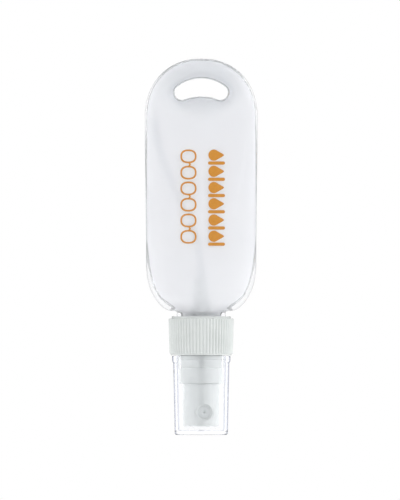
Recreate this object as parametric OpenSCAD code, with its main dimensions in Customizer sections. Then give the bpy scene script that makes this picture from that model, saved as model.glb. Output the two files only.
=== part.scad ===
// Flat hang-loop bottle with a screw-on fine-mist sprayer and a clear overcap.
// It stands on the overcap's closed end. The origin is the centre of that face, +Z runs up the
// bottle to its hang loop, the flat front faces -Y, and all sizes are in millimetres.

/* [Bottle] */
// Width of the bottle across its flat front
bottle_w = 41.8; // [40:0.2:46]
// Depth of the bottle from front to back at its fullest
bottle_d = 24.4; // [22:0.2:28]
// Length of the bottle from the root of its neck to the top of its hang loop
body_len = 93.6; // [90:0.2:110]
// Depth of the bottle at its hang loop
loop_d = 11.6; // [10:0.2:14]
// Wall thickness of the bottle's sides
wall = 1.0; // [0.8:0.1:1.2]
// Extra wall thickness where the bottle's sides turn in to its neck
shoulder_extra = 2; // [0.5:0.1:2.4]

/* [Hang slot] */
// Radius of the slot's upper arc
slot_top_r = 14.3; // [13.8:0.1:14.8]
// Radius of the slot's lower arc
slot_low_r = 18; // [17.5:0.1:18.5]
// Width of the bottle's material above the slot
loop_crown = 7.4; // [6.6:0.1:8.2]
// Height of the slot at its middle
slot_gap = 6.6; // [6:0.1:7]
// Radius that rounds the slot's two ends
slot_end_r = 2.7; // [2.4:0.1:2.9]
// Radius of the rounded throat from each face into the slot
throat_r = 6.8; // [6.2:0.1:8]

/* [Neck] */
// Diameter of the neck under its thread
neck_d = 18.2; // [18:0.1:18.4]
// Outside diameter of the neck's thread
thread_d = 19.8; // [19.6:0.1:20]
// Rise of the thread in one turn
thread_pitch = 3.175; // [3:0.025:3.4]
// Diameter of the bore through the neck
neck_bore_d = 13; // [12.4:0.1:13.6]

/* [Overcap] */
// Length of the overcap
cap_len = 29.3; // [29:0.1:32]
// Diameter of the overcap at its closed end
cap_end_d = 19.7; // [19.4:0.1:20.4]
// Diameter of the overcap just before its rim
cap_mouth_d = 20.8; // [20.6:0.1:21.4]
// Diameter of the overcap's rim
cap_rim_d = 21.6; // [21.4:0.1:22.4]
// Wall thickness of the overcap
cap_wall = 1.1; // [0.9:0.1:1.2]

/* [Spray head] */
// Diameter of the actuator at its skirt
actuator_d = 14.4; // [14:0.1:14.6]
// Distance from the overcap's closed end to the actuator's push face
push_face_z = 3.1; // [2.4:0.1:3.4]
// Diameter of the turret where the overcap grips it
turret_d = 17.4; // [17:0.1:17.6]
// Travel of the actuator
stroke = 4.3; // [3.5:0.1:4.5]
// Direction of the nozzle, turned from the front towards the right side
nozzle_turn = 10; // [-180:1:180]

/* [Screw collar] */
// Diameter over the ribs at the collar's bottle end
collar_d = 24.3; // [24:0.1:25]
// Diameter over the ribs at the collar's cap end
collar_cap_d = 23.5; // [23.2:0.1:24]
// Height of the collar
collar_h = 14.5; // [14:0.1:14.8]
// Number of grip ribs
rib_count = 60; // [40:2:72]
// Depth of the grooves between the ribs
rib_depth = 0.4; // [0.2:0.05:0.5]

/* [Pump] */
// Diameter of the pump chamber
chamber_d = 7.2; // [7:0.1:7.4]
// Diameter of the stem
stem_d = 4.2; // [4:0.1:4.4]
// Diameter of the spring's wire
wire_d = 0.5; // [0.4:0.05:0.55]
// Number of turns in the spring
spring_turns = 8; // [6:0.5:8]
// Diameter of the valve ball
ball_d = 3.2; // [3:0.1:3.3]
// Outside diameter of the dip tube
tube_d = 3.4; // [3:0.1:3.5]
// Bore of the dip tube
tube_bore_d = 2.2; // [1.6:0.1:2.4]

/* [Hidden] */
$fn = 96;

// Clearances
seat_gap = 0.1;      // between faces of pieces that turn or slide on each other
running_gap = 0.05;  // radial, of a piston or stem in its bore
overlap = 0.5;       // how far joined solids of one piece sink into each other
through = 1;         // how far a cutter runs past the face that it cuts

// Stack of levels along the axis, from the overcap's closed end
collar_z = cap_len + 2 * seat_gap;
collar_plate = 1.1;
collar_end_z = collar_z + collar_h;
flange_z = collar_z + collar_plate + seat_gap;
flange_t = 1.2;
gasket_t = 0.75;
gasket_z = flange_z + flange_t;
mouth_z = gasket_z + gasket_t + seat_gap;
neck_root_z = collar_end_z + 2;
top_z = neck_root_z + body_len;

// Levels of the spray head, from its push face and from the collar's cap end
nozzle_z = push_face_z + 5.3;
socket_z = push_face_z + 6.5;
stem_top_z = push_face_z + 8.1;
turret_z = collar_z - 10.4;
web_z = collar_z - 4.2;
web_t = 1.2;
skirt_end_z = web_z - stroke - 0.4;
boss_end_z = skirt_end_z - 1.1;
bead_z = collar_z - 1.1;

// Levels inside the pump
barrel_z = web_z + web_t + overlap;
piston_z = collar_z + 1;
piston_h = 5;
seat_z = piston_z + piston_h + 2 * seat_gap;
spring_z = seat_z + 1.3;
ledge_z = collar_z + 16.5;
keeper_z = ledge_z + 0.9;
keeper_h = 0.5;
ball_cell_end_z = ledge_z + 3;
seat_cone_h = 1.4;
tail_bore_z = ball_cell_end_z + seat_cone_h + 1;
tail_end_z = tail_bore_z + 6.6;

// Pump radii
stem_r = stem_d / 2;
chamber_r = chamber_d / 2;
channel_r = 0.9;
barrel_r = 5;
tail_r = 2.9;
inlet_r = 1.1;
ball_cell_r = 2;
flange_r = 8.9;
hub_r = 7.65;
hub_bore_r = 6.35;
upstand_r = 6.25;
post_r = 0.84;
keeper_in_r = 1.35;

// Colours
milky = [0.87, 0.88, 0.91, 0.6];
clear = [0.9, 0.92, 0.95, 0.35];
white = [0.9, 0.92, 0.91];
cream = [0.93, 0.92, 0.88];
steel = [0.7, 0.71, 0.73];
tube_tint = [0.8, 0.82, 0.84, 0.7];

function clamp01(t) = max(0, min(1, t));
function lerp(a, b, t) = a + (b - a) * t;
function ease(t) = (1 - cos(180 * clamp01(t))) / 2;
// Height of a rounded-square arc over its half chord, for t from 0 in the middle to 1 at the end
function superarc(t, n) = pow(max(0, 1 - pow(clamp01(t), n)), 1 / n);
// Points of a circular arc in a plane
function arc(c, r, a0, a1, steps) =
    [for (i = [0:steps]) let (a = lerp(a0, a1, i / steps)) c + r * [cos(a), sin(a)]];

// ---- bottle ----

// The bottle's outline is a straight-sided middle between a round top and a round shoulder.
// inset draws the same outline smaller, for the inside of the wall.
top_rise = 21.6;
top_round = 2.15;
shoulder_rise = 18;
shoulder_pole = 21;
shoulder_round = 2.4;
waist = 0.5;
depth_pole = 30;
depth_round = 2.6;
taper_z = 26;
taper_top = 16;
crown_rise = 5.1;
section_round_low = 2.1;
section_round_mid = 2.35;
section_round_top = 2.8;
top_arc_z = body_len - top_rise;
low_arc_z = shoulder_rise;

function half_w(z, inset) =
    (bottle_w / 2 - inset - waist * ease((top_arc_z - z) / (top_arc_z - low_arc_z)))
    * superarc((z - top_arc_z) / (top_rise - inset), top_round)
    * superarc((low_arc_z - z) / (shoulder_pole - inset), shoulder_round);

function half_d(z, inset) =
    (lerp(bottle_d, loop_d, ease((z - taper_z) / (body_len - taper_z - taper_top))) / 2 - inset)
    * superarc((z - body_len + crown_rise) / (crown_rise - inset), 2)
    * superarc((low_arc_z - z) / (depth_pole - inset), depth_round);

function section_round(z) =
    z < low_arc_z ? lerp(section_round_low, section_round_mid, z / low_arc_z)
                  : lerp(section_round_mid, section_round_top,
                         ease((z - low_arc_z) / (body_len - 2 * low_arc_z)));

// One closed ring of a flat, rounded section
function ring(w, d, z, n, count) =
    [for (i = [0:count - 1])
        let (a = 360 * i / count, c = cos(a), s = sin(a))
        [w * sign(c) * pow(abs(c), 2 / n), d * sign(s) * pow(abs(s), 2 / n), z]];

// The rings stop a little short of the crown's highest point, where a flat cap closes them
crown_share = 0.975;
outer_count = 44;
outer_levels = concat(
    [for (i = [0:5]) low_arc_z - shoulder_rise * cos(90 * i / 6)],
    [for (i = [0:8]) lerp(low_arc_z, top_arc_z, i / 8)],
    [for (i = [1:12]) top_arc_z + top_rise * sin(90 * crown_share * i / 12)]);

// The cavity opens from the neck as a bowl, then follows the outside at the wall's thickness
cavity_count = 36;
cavity_floor = 0.8;
bowl_rise = 5;
shoulder_blend_z = 30;
shoulder_blend = 28;
opening_r = neck_bore_d / 2 + 0.3;
cavity_levels = concat(
    [for (i = [0:4]) cavity_floor + bowl_rise * (1 - cos(90 * i / 5))],
    [for (i = [0:9]) lerp(cavity_floor + bowl_rise, top_arc_z, i / 9)],
    [for (i = [1:9]) top_arc_z + (top_rise - wall) * sin(90 * crown_share * i / 9)]);

function wall_at(z) = wall + shoulder_extra * ease((shoulder_blend_z - z) / shoulder_blend);
function bowl(z) = superarc((cavity_floor + bowl_rise - z) / bowl_rise, 2);
function cavity_half(outer, z) = opening_r + (outer - wall_at(z) + wall - opening_r) * bowl(z);

outer_rings = [for (z = outer_levels)
    ring(half_w(z, 0), half_d(z, 0), z, section_round(z), outer_count)];
cavity_rings = concat(
    [ring(opening_r, opening_r, -through, 2, cavity_count)],
    [for (z = cavity_levels)
        ring(cavity_half(half_w(z, wall), z), cavity_half(half_d(z, wall), z), z,
             lerp(2, section_round(z), bowl(z)), cavity_count)]);

// Skin over a list of rings with equal point counts, closed with a flat cap at both ends
module loft(rings) {
    n = len(rings[0]);
    m = len(rings);
    polyhedron(
        points = [for (r = rings) for (p = r) p],
        faces = concat(
            [[for (i = [0:n - 1]) i]],
            [for (j = [0:m - 2]) for (i = [0:n - 1])
                [j * n + i, (j + 1) * n + i, (j + 1) * n + (i + 1) % n, j * n + (i + 1) % n]],
            [[for (i = [n - 1:-1:0]) (m - 1) * n + i]]));
}

// The slot is the crescent between two arcs, with round ends that touch both
slot_top_z = body_len - loop_crown;
slot_top_c = slot_top_z - slot_top_r;
slot_low_c = slot_top_z - slot_gap - slot_low_r;
end_to_top = slot_top_r - slot_end_r;
end_to_low = slot_low_r + slot_end_r;
arc_centres = slot_top_c - slot_low_c;
end_rise = (end_to_low * end_to_low - end_to_top * end_to_top - arc_centres * arc_centres)
    / (2 * arc_centres);
end_x = sqrt(end_to_top * end_to_top - end_rise * end_rise);
top_angle = atan2(end_rise, end_x);
low_angle = atan2(end_rise + arc_centres, end_x);
end_skip = 12;
throat_share = 0.93;

// Outline of the slot, grown by e all round, anticlockwise from its right end
function slot_outline(e) = concat(
    arc([0, slot_top_c], slot_top_r + e, top_angle, 180 - top_angle, 14),
    arc([-end_x, slot_top_c + end_rise], slot_end_r + e,
        180 - top_angle + end_skip, 360 - low_angle - end_skip, 6),
    arc([0, slot_low_c], slot_low_r - e, 180 - low_angle, low_angle, 14),
    arc([end_x, slot_top_c + end_rise], slot_end_r + e,
        low_angle - 180 + end_skip, top_angle - end_skip, 6));

// Growth of the slot's outline at a distance y from the bottle's middle plane
function throat(y) = throat_r - sqrt(throat_r * throat_r - min(y * y, pow(throat_r * throat_share, 2)));

module slot_body(grow, half_len, steps) {
    loft([for (j = [0:steps])
        let (y = lerp(half_len, -half_len, j / steps))
        [for (p = slot_outline(throat(y) + grow)) [p[0], y, p[1]]]]);
}

// The final resize takes up what the skin's facets cut off the stated size
module bottle_shell() {
    resize([bottle_w, bottle_d, body_len])
        difference() {
            loft(outer_rings);
            difference() {
                loft(cavity_rings);
                slot_body(wall, loop_d, 12);
            }
            slot_body(0, loop_d, 12);
        }
}

// A ridge of trapezium section that climbs round the axis and runs out at both ends.
// It stands outwards where crest_r is more than root_r, and inwards where it is less.
module thread_ridge(root_r, crest_r, start_z, turns, root_w, crest_w) {
    per_turn = 40;
    steps = round(turns * per_turn);
    runout = 5;
    side = sign(crest_r - root_r);
    loft([for (i = [0:steps])
        let (a = 360 * i / per_turn,
             z = start_z + thread_pitch * i / per_turn,
             full = clamp01(min(i, steps - i) / runout),
             r = lerp(lerp(root_r, crest_r, 0.1), crest_r, full))
        [for (q = [[root_r, -root_w / 2], [root_r, root_w / 2], [r, crest_w / 2], [r, -crest_w / 2]])
            [q[0] * cos(a), q[0] * sin(a), z + side * q[1]]]]);
}

thread_start_z = mouth_z + 1.7;
thread_root_w = 1.5;
thread_crest_w = 0.7;

module bottle() {
    neck_r = neck_d / 2;
    bore_r = neck_bore_d / 2;
    lip = 0.4;
    color(milky) {
        translate([0, 0, neck_root_z])
            bottle_shell();
        rotate_extrude()
            polygon([[bore_r, mouth_z], [neck_r - lip, mouth_z], [neck_r, mouth_z + lip],
                     [neck_r, neck_root_z + cavity_floor / 2], [bore_r, neck_root_z + cavity_floor / 2]]);
        thread_ridge(neck_r - overlap, thread_d / 2, thread_start_z, 1.5, thread_root_w, thread_crest_w);
    }
}

// ---- overcap ----

module overcap() {
    end_r = cap_end_d / 2;
    mouth_r = cap_mouth_d / 2;
    rim_r = cap_rim_d / 2;
    edge = 0.9;
    inner_edge = 0.6;
    dish_r = 6;
    dish = 0.25;
    floor_t = 1.3;
    rim_h = 2;
    rim_z = cap_len - rim_h;
    grip_ribs = 6;
    grip_t = 0.5;
    grip_h = 4.4;
    grip_in = turret_d / 2 + 0.08;
    gate_r = 1.1;
    gate_h = 0.35;
    color(clear) {
        rotate_extrude()
            polygon(concat(
                [[0, dish], [dish_r, dish], [dish_r + dish, 0]],
                arc([end_r - edge, edge], edge, -90, 0, 6),
                [[mouth_r, rim_z - 0.6], [rim_r, rim_z], [rim_r, cap_len - 0.3], [rim_r - 0.3, cap_len],
                 [mouth_r - cap_wall + 0.2, cap_len], [mouth_r - cap_wall, cap_len - 0.4]],
                arc([end_r - cap_wall - inner_edge, floor_t + inner_edge], inner_edge, 0, -90, 5),
                [[gate_r, floor_t], [gate_r * 0.8, floor_t + gate_h], [0, floor_t + gate_h]]));
        for (i = [0:grip_ribs - 1])
            rotate([0, 0, 360 * (i + 0.5) / grip_ribs])
                translate([grip_in, -grip_t / 2, cap_len - 0.5 - grip_h])
                    cube([mouth_r - cap_wall - grip_in + overlap, grip_t, grip_h]);
    }
}

// ---- spray head ----

nozzle_face_y = 6.2;
insert_r = 2.25;
insert_len = 2.2;
pocket_depth_y = nozzle_face_y - insert_len - 0.3;
swirl_post_r = 1.2;

// Turns a shape drawn along +Z so that it points out of the nozzle's side of the actuator
module nozzle_frame() {
    translate([0, 0, nozzle_z])
        rotate([0, 0, nozzle_turn])
            rotate([90, 0, 0])
                children();
}

module actuator() {
    skirt_r = actuator_d / 2;
    face_r = skirt_r - 0.15;
    shell_t = 1;
    edge = 0.6;
    dish = 0.35;
    face_t = 1.2;
    boss_r = 3.3;
    nozzle_boss_r = 3.6;
    recess_r = 3;
    feed_r = 0.45;
    inner_z = push_face_z + face_t;
    color(white)
        difference() {
            union() {
                rotate_extrude()
                    polygon(concat(
                        [[0, push_face_z + dish], [face_r * 0.45, push_face_z + dish * 0.7],
                         [face_r * 0.75, push_face_z + dish * 0.2]],
                        arc([face_r - edge, push_face_z + edge], edge, -90, 0, 6),
                        [[skirt_r, turret_z], [skirt_r, skirt_end_z], [skirt_r - shell_t, skirt_end_z],
                         [face_r - shell_t, inner_z], [boss_r, inner_z], [boss_r, boss_end_z],
                         [0, boss_end_z]]));
                nozzle_frame()
                    cylinder(r = nozzle_boss_r, h = nozzle_face_y);
            }
            translate([0, 0, socket_z])
                cylinder(r = stem_r + running_gap / 2, h = boss_end_z - socket_z + through);
            nozzle_frame() {
                translate([0, 0, nozzle_face_y])
                    cylinder(r = recess_r, h = skirt_r);
                difference() {
                    translate([0, 0, pocket_depth_y])
                        cylinder(r = insert_r + running_gap / 2, h = skirt_r);
                    cylinder(r = swirl_post_r, h = nozzle_face_y - 0.9);
                }
                translate([0, (insert_r + swirl_post_r) / 2, 0])
                    cylinder(r = feed_r, h = pocket_depth_y + overlap);
            }
        }
}

module nozzle_insert() {
    front_t = 0.7;
    orifice_r = 0.2;
    flare_r = 0.8;
    flare_h = 0.35;
    cup_r = swirl_post_r + 0.25;
    front = nozzle_face_y - 0.05;
    color(cream)
        nozzle_frame()
            rotate_extrude()
                polygon([[orifice_r, front - front_t], [cup_r, front - front_t],
                         [cup_r, front - insert_len],
                         [insert_r, front - insert_len], [insert_r, front], [flare_r, front],
                         [orifice_r, front - flare_h]]);
}

module turret() {
    mouth_r = turret_d / 2 - 0.35;
    grip_r = turret_d / 2;
    guide_r = actuator_d / 2 + 0.3;
    groove = 0.12;
    step_z = web_z - 0.5;
    base_z = bead_z - 0.5;
    bead = 0.25;
    hub_end_z = flange_z - seat_gap / 2;
    color(white)
        rotate_extrude()
            polygon([
                [guide_r, turret_z + 0.2], [guide_r + 0.2, turret_z], [mouth_r - 0.25, turret_z],
                [mouth_r, turret_z + 0.25],
                [mouth_r + 0.15, step_z - groove], [mouth_r + 0.05, step_z],
                [mouth_r + 0.2, step_z + groove],
                [grip_r - 0.03, base_z - groove], [grip_r - groove, base_z], [grip_r, base_z + groove],
                [grip_r, collar_z - seat_gap], [hub_r, collar_z - seat_gap], [hub_r, hub_end_z],
                [hub_bore_r, hub_end_z], [hub_bore_r, bead_z + 2 * bead], [hub_bore_r + bead, bead_z],
                [hub_bore_r, bead_z - 2 * bead], [hub_bore_r, web_z + web_t],
                [stem_r + seat_gap, web_z + web_t], [stem_r + seat_gap, web_z], [guide_r, web_z]]);
}

module stem() {
    stop_r = 3.3;
    stop_z = web_z + web_t + seat_gap;
    stop_t = 1.2;
    port_r = 0.35;
    port_z = seat_z - 1;
    color(cream)
        difference() {
            union() {
                translate([0, 0, stem_top_z])
                    cylinder(r = stem_r, h = seat_z - seat_gap - stem_top_z);
                translate([0, 0, stop_z])
                    cylinder(r = stop_r, h = stop_t);
            }
            translate([0, 0, stem_top_z - through])
                cylinder(r = channel_r, h = seat_z - stem_top_z + 2 * through);
            translate([0, 0, port_z])
                rotate([0, 90, 0])
                    cylinder(r = port_r, h = stem_d + through, center = true);
        }
}

module piston() {
    bore_r = stem_r + running_gap;
    body_r = 2.9;
    lip_r = chamber_r - running_gap;
    lip_t = 0.6;
    top = piston_z + piston_h;
    color(cream)
        rotate_extrude()
            polygon([[bore_r, piston_z + 0.5], [body_r, piston_z + 0.5], [lip_r - 0.3, piston_z],
                     [lip_r, piston_z], [lip_r, piston_z + lip_t], [body_r, piston_z + 3 * lip_t],
                     [body_r, top - 3 * lip_t], [lip_r, top - lip_t], [lip_r, top], [lip_r - 0.3, top],
                     [body_r - 0.2, top - 0.5], [bore_r, top - 0.5]]);
}

module piston_seat() {
    head_r = 3.1;
    spigot_r = 2.1;
    spigot_z = spring_z + 1.6;
    post_z = seat_z - 3.2;
    flat = 0.3;
    color(white)
        difference() {
            rotate_extrude()
                polygon([[0, post_z], [post_r - 0.15, post_z], [post_r, post_z + 0.3], [post_r, seat_z],
                         [head_r - 0.3, seat_z], [head_r, seat_z + 0.3], [head_r, spring_z],
                         [spigot_r, spring_z], [spigot_r, spigot_z - 0.4], [spigot_r - 0.4, spigot_z],
                         [0, spigot_z]]);
            for (side = [-1, 1])
                translate([side * (2 * post_r - flat), 0, post_z])
                    cube([2 * post_r, 4 * post_r, 2 * (seat_z - post_z - 0.3)], center = true);
        }
}

// ---- pump and its screw collar ----

module pump_housing() {
    bead = 0.2;
    keeper_count = 3;
    vent_r = 0.35;
    vent_z = piston_z + 2.6;
    cone_h = 2;
    color(white)
        difference() {
            union() {
                difference() {
                    rotate_extrude()
                        polygon([
                            [0, barrel_z], [upstand_r - 0.3, barrel_z], [upstand_r, barrel_z + 0.3],
                            [upstand_r, bead_z - 2 * bead], [upstand_r + bead, bead_z],
                            [upstand_r, bead_z + 2 * bead], [upstand_r, flange_z], [flange_r, flange_z],
                            [flange_r, gasket_z], [barrel_r, gasket_z], [barrel_r, ledge_z + 0.5],
                            [tail_r, ledge_z + 0.5 + cone_h], [tail_r, tail_end_z - 0.4],
                            [tail_r - 0.4, tail_end_z], [0, tail_end_z]]);
                    rotate_extrude()
                        polygon([
                            [0, barrel_z - through], [chamber_r, barrel_z - through], [chamber_r, ledge_z],
                            [ball_cell_r, ledge_z], [ball_cell_r, ball_cell_end_z],
                            [inlet_r, ball_cell_end_z + seat_cone_h], [inlet_r, tail_bore_z],
                            [tube_d / 2 + running_gap, tail_bore_z],
                            [tube_d / 2 + running_gap, tail_end_z + through], [0, tail_end_z + through]]);
                }
                for (i = [0:keeper_count - 1])
                    rotate([0, 0, 360 * i / keeper_count])
                        translate([keeper_in_r, -keeper_h / 2, keeper_z])
                            cube([ball_cell_r - keeper_in_r + 0.3, keeper_h, keeper_h]);
            }
            translate([0, 0, vent_z])
                rotate([0, 90, 0])
                    cylinder(r = vent_r, h = barrel_r + through);
        }
}

module neck_gasket() {
    color(cream)
        translate([0, 0, gasket_z])
            difference() {
                cylinder(r = flange_r, h = gasket_t);
                translate([0, 0, -through])
                    cylinder(r = barrel_r + 0.1, h = gasket_t + 2 * through);
            }
}

spring_r = 2.65;

module return_spring() {
    per_turn = 16;
    sides = 6;
    steps = round(spring_turns * per_turn);
    wire_r = wire_d / 2;
    low = spring_z + wire_r;
    high = ledge_z - wire_r;
    dead = 1 / spring_turns;
    function centre_z(t) =
        t < dead ? low + wire_d * t / dead
        : t > 1 - dead ? high - wire_d * (1 - t) / dead
        : lerp(low + wire_d, high - wire_d, (t - dead) / (1 - 2 * dead));
    color(steel)
        loft([for (i = [0:steps])
            let (a = 360 * i / per_turn, z = centre_z(i / steps))
            [for (j = [0:sides - 1])
                let (b = -360 * j / sides, r = spring_r + wire_r * cos(b))
                [r * cos(a), r * sin(a), z + wire_r * sin(b)]]]);
}

// The ball hangs on its keepers, one lift below the inlet's cone
ball_rest_z = keeper_z + keeper_h + sqrt(pow(ball_d / 2, 2) - pow(keeper_in_r, 2)) + running_gap;

module ball_valve() {
    color(steel)
        translate([0, 0, ball_rest_z])
            sphere(r = ball_d / 2);
}

// The dip tube leaves the tail straight, leans to one side and ends upright along the wall
tube_z = tail_bore_z + 0.1;
tube_bend_z = tail_end_z + 2;
tube_end_z = top_z - 22;
tube_lean = bottle_w / 2 - wall - tube_d / 2 - 1.3;
tube_rings = 26;

function tube_x(z) = -tube_lean * ease((z - tube_bend_z) / (tube_end_z - tube_bend_z));
function tube_tilt(z) = atan((tube_x(z + 0.05) - tube_x(z - 0.05)) / 0.1);

module tube_core(r, z0, z1, sides) {
    loft([for (i = [0:tube_rings])
        let (z = lerp(z0, z1, i / tube_rings), tilt = tube_tilt(z))
        [for (j = [0:sides - 1])
            let (b = 360 * j / sides)
            [tube_x(z) + r * cos(b) * cos(tilt), r * sin(b), z - r * cos(b) * sin(tilt)]]]);
}

module dip_tube() {
    color(tube_tint)
        difference() {
            tube_core(tube_d / 2, tube_z, tube_end_z, 16);
            tube_core(tube_bore_d / 2, tube_z - through, tube_end_z + through, 12);
        }
}

function rib_profile(a) = rib_depth * (1 - abs(cos(a * rib_count / 2)));

module screw_collar() {
    wall_r = thread_d / 2 + 0.25;
    hole_r = hub_r + seat_gap;
    ring_h = 0.8;
    ring_r = collar_d / 2 - 1.2;
    band_h = 0.5;
    band_r = collar_cap_d / 2 - rib_depth - 0.15;
    edge = 0.3;
    grip_z = collar_z + band_h;
    grip_h = collar_h - ring_h - band_h;
    rib_points = rib_count * 6;
    color(white) {
        difference() {
            union() {
                translate([0, 0, grip_z])
                    linear_extrude(height = grip_h, scale = collar_d / collar_cap_d)
                        polygon([for (i = [0:rib_points - 1])
                            let (a = 360 * i / rib_points, r = collar_cap_d / 2 - rib_profile(a))
                            r * [cos(a), sin(a)]]);
                rotate_extrude()
                    polygon([[0, collar_z], [band_r - edge, collar_z], [band_r, collar_z + edge],
                             [band_r, grip_z + overlap], [ring_r, grip_z + 2 * overlap],
                             [ring_r, collar_end_z - edge], [ring_r - edge, collar_end_z],
                             [0, collar_end_z]]);
            }
            translate([0, 0, collar_z + collar_plate])
                cylinder(r = wall_r, h = collar_h);
            translate([0, 0, collar_z - through])
                cylinder(r = hole_r, h = collar_plate + 2 * through);
        }
        thread_ridge(wall_r + overlap, neck_d / 2 + 0.25, thread_start_z + thread_pitch / 2, 1,
                     thread_root_w, thread_crest_w);
    }
}

bottle();
overcap();
actuator();
nozzle_insert();
turret();
screw_collar();
pump_housing();
neck_gasket();
stem();
piston();
piston_seat();
return_spring();
ball_valve();
dip_tube();
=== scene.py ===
"""Lens cleaning spray: the looks of a flat hang-loop bottle with a screw-on fine-mist sprayer.

Shapes are drawn in millimetres and turned to metres when a mesh is made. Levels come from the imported
frame's boxes, and the bottle's formulas are the ones that its CAD solid follows. Those formulas count z
from the neck's root; everything else counts it from the face that the object stands on.
"""
import math

import bmesh
import bpy
import numpy as np
from mathutils import Matrix, Vector


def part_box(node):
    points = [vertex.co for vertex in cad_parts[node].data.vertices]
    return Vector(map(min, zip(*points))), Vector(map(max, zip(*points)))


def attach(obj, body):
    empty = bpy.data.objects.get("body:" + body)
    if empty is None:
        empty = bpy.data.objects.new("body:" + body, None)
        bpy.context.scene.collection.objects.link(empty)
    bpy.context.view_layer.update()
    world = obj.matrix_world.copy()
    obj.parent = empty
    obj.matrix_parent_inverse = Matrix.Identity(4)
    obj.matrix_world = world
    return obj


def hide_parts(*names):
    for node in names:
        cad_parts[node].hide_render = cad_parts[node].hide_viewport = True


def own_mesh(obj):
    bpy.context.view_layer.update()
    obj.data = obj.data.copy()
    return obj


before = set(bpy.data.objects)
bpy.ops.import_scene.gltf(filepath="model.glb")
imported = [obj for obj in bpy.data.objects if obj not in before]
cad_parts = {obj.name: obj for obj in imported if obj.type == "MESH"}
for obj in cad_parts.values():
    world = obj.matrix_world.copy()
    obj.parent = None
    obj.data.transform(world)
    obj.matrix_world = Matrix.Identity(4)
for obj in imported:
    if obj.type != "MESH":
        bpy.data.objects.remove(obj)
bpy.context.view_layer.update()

MM = 0.001


def box_mm(node):
    """Lowest and highest corner of a CAD node, in millimetres."""
    low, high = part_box(node)
    return low / MM, high / MM


# ---- levels and radii, in millimetres ----

BOTTLE_LOW, BOTTLE_HIGH = box_mm("bottle")
CAP_HIGH = box_mm("overcap")[1]
ACTUATOR_LOW, ACTUATOR_HIGH = box_mm("actuator")
TURRET_LOW, TURRET_HIGH = box_mm("turret")
COLLAR_LOW, COLLAR_HIGH = box_mm("screw_collar")
SPRING_LOW, SPRING_HIGH = box_mm("return_spring")

MOUTH_Z = BOTTLE_LOW.z
TOP_Z = BOTTLE_HIGH.z
BODY_LEN = 93.6                         # from the neck's root to the top of the loop
NECK_ROOT_Z = TOP_Z - BODY_LEN
BOTTLE_W = BOTTLE_HIGH.x - BOTTLE_LOW.x
BOTTLE_D = BOTTLE_HIGH.y - BOTTLE_LOW.y
LOOP_D = 11.6                           # front to back at the loop
WALL = 1.0
SHOULDER_EXTRA = 2.0                    # added to the wall by the neck
NECK_R = 9.1
BORE_R = 6.5
CAP_LEN = CAP_HIGH.z
COLLAR_Z = COLLAR_LOW.z
WEB_Z, WEB_T = COLLAR_Z - 4.2, 1.2      # the turret's web, which the stem passes through
BEAD_Z = COLLAR_Z - 1.1                 # the groove in the turret for the housing's bead
NOZZLE_TURN = math.radians(10)
NOZZLE_Z = ACTUATOR_LOW.z + 5.3
SOCKET_R = 2.125                        # the actuator's socket for the stem


# ---- numbers on arrays ----

def mix(a, b, t):
    return a + (b - a) * t


def clamp01(t):
    return np.clip(t, 0, 1)


def ease(t):
    return (1 - np.cos(np.pi * clamp01(t))) / 2


def superarc(t, n):
    """Height of a rounded-square arc over its half chord, for t from 0 in the middle to 1 at the end."""
    return (1 - clamp01(t) ** n) ** (1 / n)


def smooth_max(a, b, k):
    h = np.maximum(k - np.abs(a - b), 0) / k
    return np.maximum(a, b) + h * h * k / 4


def smooth_min(a, b, k):
    return -smooth_max(-a, -b, k)


# ---- mesh helpers ----

def new_object(name, verts, faces, sharp=40):
    """A mesh object from points in millimetres, smooth but for edges sharper than the given angle."""
    mesh = bpy.data.meshes.new(name)
    mesh.from_pydata((np.asarray(verts, float) * MM).tolist(), [], [list(map(int, f)) for f in faces])
    mesh.validate()
    mesh.shade_smooth()
    if sharp:
        mesh.set_sharp_from_angle(angle=math.radians(sharp))
    obj = bpy.data.objects.new(name, mesh)
    bpy.context.collection.objects.link(obj)
    return obj


def rounded(profile, closed, steps=4):
    """Points of a profile whose (r, z, fillet) corners are rounded by that radius."""
    points = []
    count = len(profile)
    for i, corner in enumerate(profile):
        p = np.array(corner[:2], float)
        fillet = corner[2] if len(corner) > 2 else 0
        inner = closed or 0 < i < count - 1
        if not (fillet and inner):
            points.append(p)
            continue
        before = np.array(profile[i - 1][:2], float) - p
        after = np.array(profile[(i + 1) % count][:2], float) - p
        len_b, len_a = np.linalg.norm(before), np.linalg.norm(after)
        before, after = before / len_b, after / len_a
        half = math.acos(np.clip(before @ after, -1, 1)) / 2
        if half > math.radians(87):
            points.append(p)
            continue
        reach = min(fillet / math.tan(half), 0.48 * len_b, 0.48 * len_a)
        start, end = p + before * reach, p + after * reach
        for k in range(steps + 1):
            t = k / steps
            points.append((1 - t) ** 2 * start + 2 * t * (1 - t) * p + t * t * end)
    return points


def lathe(name, profile, segments=128, closed=True, shape=None, steps=4, sharp=40):
    """A solid of revolution. An open profile starts and ends on the axis.
    shape(r, z, angles) may return the radius round the ring, for ribs and the like."""
    points = rounded(profile, closed, steps)
    angles = np.arange(segments) * 2 * np.pi / segments
    verts, rings = [], []
    for r, z in points:
        if r < 1e-6:
            rings.append([len(verts)])
            verts.append((0, 0, z))
            continue
        radii = shape(r, z, angles) if shape else np.full(segments, r)
        rings.append(list(range(len(verts), len(verts) + segments)))
        verts.extend(zip(radii * np.cos(angles), radii * np.sin(angles), np.full(segments, z)))
    faces = []
    pairs = list(zip(rings, rings[1:])) + ([(rings[-1], rings[0])] if closed else [])
    for low, high in pairs:
        for i in range(segments):
            j = (i + 1) % segments
            if len(low) == 1:
                faces.append((low[0], high[j], high[i]))
            elif len(high) == 1:
                faces.append((low[i], low[j], high[0]))
            else:
                faces.append((low[i], low[j], high[j], high[i]))
    obj = new_object(name, verts, faces, sharp)
    outward(obj)
    return obj


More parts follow.
